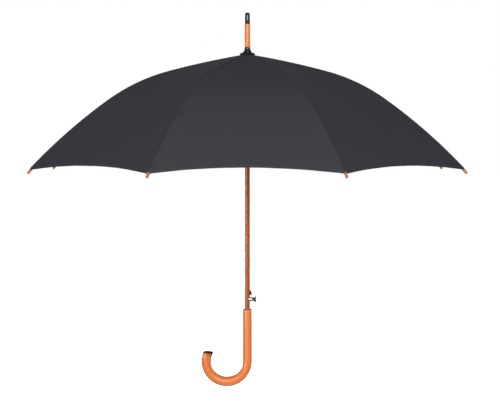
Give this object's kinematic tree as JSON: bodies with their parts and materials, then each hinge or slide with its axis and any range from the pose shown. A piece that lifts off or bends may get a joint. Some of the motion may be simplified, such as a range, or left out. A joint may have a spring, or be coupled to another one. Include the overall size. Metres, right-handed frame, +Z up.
{
  "type": "stick umbrella",
  "caption": "Long stick umbrella, open, with a dark fabric canopy on folding ribs, a wooden shaft, a wooden crook handle and a push-button opener.",
  "frame": {"origin": "on the shaft's axis at the middle of the straight grip, where a hand holds the umbrella", "axes": "+Z up the shaft towards the spike, the crook bends towards -X, the button is on the +X side, one gore of the canopy is centred on -Y"},
  "size_m": [0.9734, 0.9734, 0.8783],
  "materials": {
    "shaft_wood": "varnished reddish-brown wood with fine grain along the shaft",
    "handle_wood": "varnished light orange-brown wood, satin gloss",
    "dark_wood": "dark brown end plug",
    "ferrule_wood": "pale varnished wood",
    "tip_wood": "small turned wooden tips",
    "canopy_fabric": "dark charcoal woven polyester pongee, slightly see-through where only the sky is behind it",
    "black_nylon": "black moulded nylon",
    "crown_black": "glossy black cap with a sharp highlight",
    "cap_black": "glossy black end cap",
    "button_black": "black moulded plastic",
    "black_metal": "black painted steel",
    "spring_steel": "bright spring steel wire",
    "chrome": "polished chrome"
  },
  "bodies": {
    "shaft": {"shaft": "shaft_wood", "crook_handle": "handle_wood", "crook_end_cap": "dark_wood", "top_spike": "ferrule_wood", "spike_cap": "cap_black", "crown_cap": "crown_black", "crown_rosette": "canopy_fabric", "top_notch": "black_nylon", "top_notch_wire": "spring_steel", "catch_pin": "spring_steel", "button_bush": "chrome"},
    "runner": {"runner": "black_nylon", "opening_spring": "spring_steel"},
    "spring_ring": {"spring_ring": "black_nylon"},
    "catch": {"catch_lever": "black_metal"},
    "button": {"release_button": "button_black", "button_spring": "spring_steel"},
    "rib_1": {"rib_1": "black_metal", "rib_tip_1": "tip_wood", "canopy_panel_1": "canopy_fabric"},
    "stretcher_1": {"stretcher_1": "black_metal"},
    "strut_1": {"strut_1": "black_metal"},
    "rib_2": {"rib_2": "black_metal", "rib_tip_2": "tip_wood", "canopy_panel_2": "canopy_fabric"},
    "stretcher_2": {"stretcher_2": "black_metal"},
    "strut_2": {"strut_2": "black_metal"},
    "rib_3": {"rib_3": "black_metal", "rib_tip_3": "tip_wood", "canopy_panel_3": "canopy_fabric"},
    "stretcher_3": {"stretcher_3": "black_metal"},
    "strut_3": {"strut_3": "black_metal"},
    "rib_4": {"rib_4": "black_metal", "rib_tip_4": "tip_wood", "canopy_panel_4": "canopy_fabric", "tie_strap": "canopy_fabric", "strap_snap": "button_black"},
    "stretcher_4": {"stretcher_4": "black_metal"},
    "strut_4": {"strut_4": "black_metal"},
    "rib_5": {"rib_5": "black_metal", "rib_tip_5": "tip_wood", "canopy_panel_5": "canopy_fabric"},
    "stretcher_5": {"stretcher_5": "black_metal"},
    "strut_5": {"strut_5": "black_metal"},
    "rib_6": {"rib_6": "black_metal", "rib_tip_6": "tip_wood", "canopy_panel_6": "canopy_fabric"},
    "stretcher_6": {"stretcher_6": "black_metal"},
    "strut_6": {"strut_6": "black_metal"},
    "rib_7": {"rib_7": "black_metal", "rib_tip_7": "tip_wood", "canopy_panel_7": "canopy_fabric"},
    "stretcher_7": {"stretcher_7": "black_metal"},
    "strut_7": {"strut_7": "black_metal"},
    "rib_8": {"rib_8": "black_metal", "rib_tip_8": "tip_wood", "canopy_panel_8": "canopy_fabric"},
    "stretcher_8": {"stretcher_8": "black_metal"},
    "strut_8": {"strut_8": "black_metal"}
  },
  "joints": [
    {"name": "runner_slide", "type": "slide", "parent": "shaft", "child": "runner", "axis": [0, 0, -1], "range_m": [0, 0.3135], "stiffness_N_per_m": 80, "springref_m": -0.25},
    {"name": "ring_slide", "type": "slide", "parent": "runner", "child": "spring_ring", "axis": [0, 0, 1], "range_m": [0, 0.0983], "deforming": ["opening_spring"]},
    {"name": "rib_fold_1", "type": "hinge", "parent": "shaft", "child": "rib_1", "pos_m": [0.00383, -0.00924, 0.6528], "axis": [0.9239, 0.3827, 0], "range_deg": [0, 60.9], "deforming": ["canopy_panel_1"]},
    {"name": "stretcher_fold_1", "type": "hinge", "parent": "rib_1", "child": "stretcher_1", "pos_m": [0.09423, -0.2275, 0.59556], "axis": [-0.9239, -0.3827, 0], "range_deg": [0, 109.94]},
    {"name": "strut_fold_1", "type": "hinge", "parent": "stretcher_1", "child": "strut_1", "pos_m": [0.03662, -0.0884, 0.51904], "axis": [0.9239, 0.3827, 0], "range_deg": [0, 98.09]},
    {"name": "rib_fold_2", "type": "hinge", "parent": "shaft", "child": "rib_2", "pos_m": [0.00924, -0.00383, 0.6528], "axis": [0.3827, 0.9239, 0], "range_deg": [0, 60.9], "deforming": ["canopy_panel_2"]},
    {"name": "stretcher_fold_2", "type": "hinge", "parent": "rib_2", "child": "stretcher_2", "pos_m": [0.2275, -0.09423, 0.59556], "axis": [-0.3827, -0.9239, 0], "range_deg": [0, 109.94]},
    {"name": "strut_fold_2", "type": "hinge", "parent": "stretcher_2", "child": "strut_2", "pos_m": [0.0884, -0.03662, 0.51904], "axis": [0.3827, 0.9239, 0], "range_deg": [0, 98.09]},
    {"name": "rib_fold_3", "type": "hinge", "parent": "shaft", "child": "rib_3", "pos_m": [0.00924, 0.00383, 0.6528], "axis": [-0.3827, 0.9239, 0], "range_deg": [0, 60.9], "deforming": ["canopy_panel_3"]},
    {"name": "stretcher_fold_3", "type": "hinge", "parent": "rib_3", "child": "stretcher_3", "pos_m": [0.2275, 0.09423, 0.59556], "axis": [0.3827, -0.9239, 0], "range_deg": [0, 109.94]},
    {"name": "strut_fold_3", "type": "hinge", "parent": "stretcher_3", "child": "strut_3", "pos_m": [0.0884, 0.03662, 0.51904], "axis": [-0.3827, 0.9239, 0], "range_deg": [0, 98.09]},
    {"name": "rib_fold_4", "type": "hinge", "parent": "shaft", "child": "rib_4", "pos_m": [0.00383, 0.00924, 0.6528], "axis": [-0.9239, 0.3827, 0], "range_deg": [0, 60.9], "deforming": ["canopy_panel_4"]},
    {"name": "stretcher_fold_4", "type": "hinge", "parent": "rib_4", "child": "stretcher_4", "pos_m": [0.09423, 0.2275, 0.59556], "axis": [0.9239, -0.3827, 0], "range_deg": [0, 109.94]},
    {"name": "strut_fold_4", "type": "hinge", "parent": "stretcher_4", "child": "strut_4", "pos_m": [0.03662, 0.0884, 0.51904], "axis": [-0.9239, 0.3827, 0], "range_deg": [0, 98.09]},
    {"name": "rib_fold_5", "type": "hinge", "parent": "shaft", "child": "rib_5", "pos_m": [-0.00383, 0.00924, 0.6528], "axis": [-0.9239, -0.3827, 0], "range_deg": [0, 60.9], "deforming": ["canopy_panel_5"]},
    {"name": "stretcher_fold_5", "type": "hinge", "parent": "rib_5", "child": "stretcher_5", "pos_m": [-0.09423, 0.2275, 0.59556], "axis": [0.9239, 0.3827, 0], "range_deg": [0, 109.94]},
    {"name": "strut_fold_5", "type": "hinge", "parent": "stretcher_5", "child": "strut_5", "pos_m": [-0.03662, 0.0884, 0.51904], "axis": [-0.9239, -0.3827, 0], "range_deg": [0, 98.09]},
    {"name": "rib_fold_6", "type": "hinge", "parent": "shaft", "child": "rib_6", "pos_m": [-0.00924, 0.00383, 0.6528], "axis": [-0.3827, -0.9239, 0], "range_deg": [0, 60.9], "deforming": ["canopy_panel_6"]},
    {"name": "stretcher_fold_6", "type": "hinge", "parent": "rib_6", "child": "stretcher_6", "pos_m": [-0.2275, 0.09423, 0.59556], "axis": [0.3827, 0.9239, 0], "range_deg": [0, 109.94]},
    {"name": "strut_fold_6", "type": "hinge", "parent": "stretcher_6", "child": "strut_6", "pos_m": [-0.0884, 0.03662, 0.51904], "axis": [-0.3827, -0.9239, 0], "range_deg": [0, 98.09]},
    {"name": "rib_fold_7", "type": "hinge", "parent": "shaft", "child": "rib_7", "pos_m": [-0.00924, -0.00383, 0.6528], "axis": [0.3827, -0.9239, 0], "range_deg": [0, 60.9], "deforming": ["canopy_panel_7"]},
    {"name": "stretcher_fold_7", "type": "hinge", "parent": "rib_7", "child": "stretcher_7", "pos_m": [-0.2275, -0.09423, 0.59556], "axis": [-0.3827, 0.9239, 0], "range_deg": [0, 109.94]},
    {"name": "strut_fold_7", "type": "hinge", "parent": "stretcher_7", "child": "strut_7", "pos_m": [-0.0884, -0.03662, 0.51904], "axis": [0.3827, -0.9239, 0], "range_deg": [0, 98.09]},
    {"name": "rib_fold_8", "type": "hinge", "parent": "shaft", "child": "rib_8", "pos_m": [-0.00383, -0.00924, 0.6528], "axis": [0.9239, -0.3827, 0], "range_deg": [0, 60.9], "deforming": ["canopy_panel_8"]},
    {"name": "stretcher_fold_8", "type": "hinge", "parent": "rib_8", "child": "stretcher_8", "pos_m": [-0.09423, -0.2275, 0.59556], "axis": [-0.9239, 0.3827, 0], "range_deg": [0, 109.94]},
    {"name": "strut_fold_8", "type": "hinge", "parent": "stretcher_8", "child": "strut_8", "pos_m": [-0.03662, -0.0884, 0.51904], "axis": [0.9239, -0.3827, 0], "range_deg": [0, 98.09]},
    {"name": "button_push", "type": "slide", "parent": "shaft", "child": "button", "axis": [-1, 0, 0], "range_m": [0, 0.0024], "stiffness_N_per_m": 400, "springref_m": -0.002, "deforming": ["button_spring"]},
    {"name": "catch_swing", "type": "hinge", "parent": "shaft", "child": "catch", "pos_m": [0.001, 0, 0.068], "axis": [0, -1, 0], "range_deg": [0, 8.59]}
  ],
  "couplings": [
    {"joint": "ring_slide", "follows": "runner_slide", "ratio": 0.31356},
    {"joint": "rib_fold_1", "follows": "runner_slide", "rad_per_m": 3.3904},
    {"joint": "stretcher_fold_1", "follows": "runner_slide", "rad_per_m": 6.1206},
    {"joint": "strut_fold_1", "follows": "runner_slide", "rad_per_m": 5.4609},
    {"joint": "rib_fold_2", "follows": "runner_slide", "rad_per_m": 3.3904},
    {"joint": "stretcher_fold_2", "follows": "runner_slide", "rad_per_m": 6.1206},
    {"joint": "strut_fold_2", "follows": "runner_slide", "rad_per_m": 5.4609},
    {"joint": "rib_fold_3", "follows": "runner_slide", "rad_per_m": 3.3904},
    {"joint": "stretcher_fold_3", "follows": "runner_slide", "rad_per_m": 6.1206},
    {"joint": "strut_fold_3", "follows": "runner_slide", "rad_per_m": 5.4609},
    {"joint": "rib_fold_4", "follows": "runner_slide", "rad_per_m": 3.3904},
    {"joint": "stretcher_fold_4", "follows": "runner_slide", "rad_per_m": 6.1206},
    {"joint": "strut_fold_4", "follows": "runner_slide", "rad_per_m": 5.4609},
    {"joint": "rib_fold_5", "follows": "runner_slide", "rad_per_m": 3.3904},
    {"joint": "stretcher_fold_5", "follows": "runner_slide", "rad_per_m": 6.1206},
    {"joint": "strut_fold_5", "follows": "runner_slide", "rad_per_m": 5.4609},
    {"joint": "rib_fold_6", "follows": "runner_slide", "rad_per_m": 3.3904},
    {"joint": "stretcher_fold_6", "follows": "runner_slide", "rad_per_m": 6.1206},
    {"joint": "strut_fold_6", "follows": "runner_slide", "rad_per_m": 5.4609},
    {"joint": "rib_fold_7", "follows": "runner_slide", "rad_per_m": 3.3904},
    {"joint": "stretcher_fold_7", "follows": "runner_slide", "rad_per_m": 6.1206},
    {"joint": "strut_fold_7", "follows": "runner_slide", "rad_per_m": 5.4609},
    {"joint": "rib_fold_8", "follows": "runner_slide", "rad_per_m": 3.3904},
    {"joint": "stretcher_fold_8", "follows": "runner_slide", "rad_per_m": 6.1206},
    {"joint": "strut_fold_8", "follows": "runner_slide", "rad_per_m": 5.4609},
    {"joint": "catch_swing", "follows": "button_push", "rad_per_m": 62.497}
  ]
}
